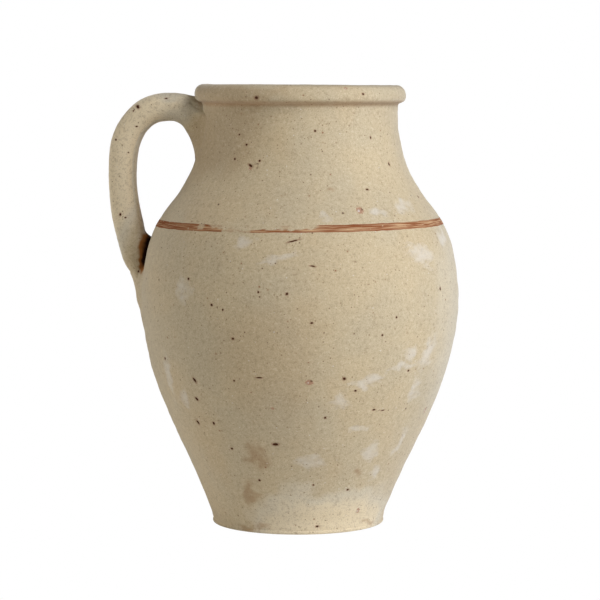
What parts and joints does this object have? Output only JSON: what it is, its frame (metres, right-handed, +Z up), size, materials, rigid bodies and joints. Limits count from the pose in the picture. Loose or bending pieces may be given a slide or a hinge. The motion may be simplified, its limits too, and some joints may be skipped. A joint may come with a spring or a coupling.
{
  "type": "one-handled amphora jug",
  "caption": "Buff unglazed stoneware jug with a full shoulder, rolled rim, pulled side handle and a painted iron-red line.",
  "frame": {"origin": "on the axis of the jug's turned body, in the plane of the flat foot that it stands on", "axes": "+Z up the axis of the body; the handle is on the -X side, in the XZ plane; +Y is a quarter turn from it"},
  "size_m": [0.2564, 0.2312, 0.32],
  "materials": {
    "stoneware": "matt, fine sandy grain with dark iron pits and chalky white bloom",
    "iron_slip": "matt, thin brushed iron-red slip, worn through in places"
  },
  "bodies": {
    "root": {"floor_slab": "stoneware", "body_wall": "stoneware", "neck_collar": "stoneware", "rolled_rim": "stoneware", "slip_band": "iron_slip", "handle": "stoneware", "handle_upper_luting": "stoneware", "handle_lower_luting": "stoneware"}
  },
  "joints": []
}
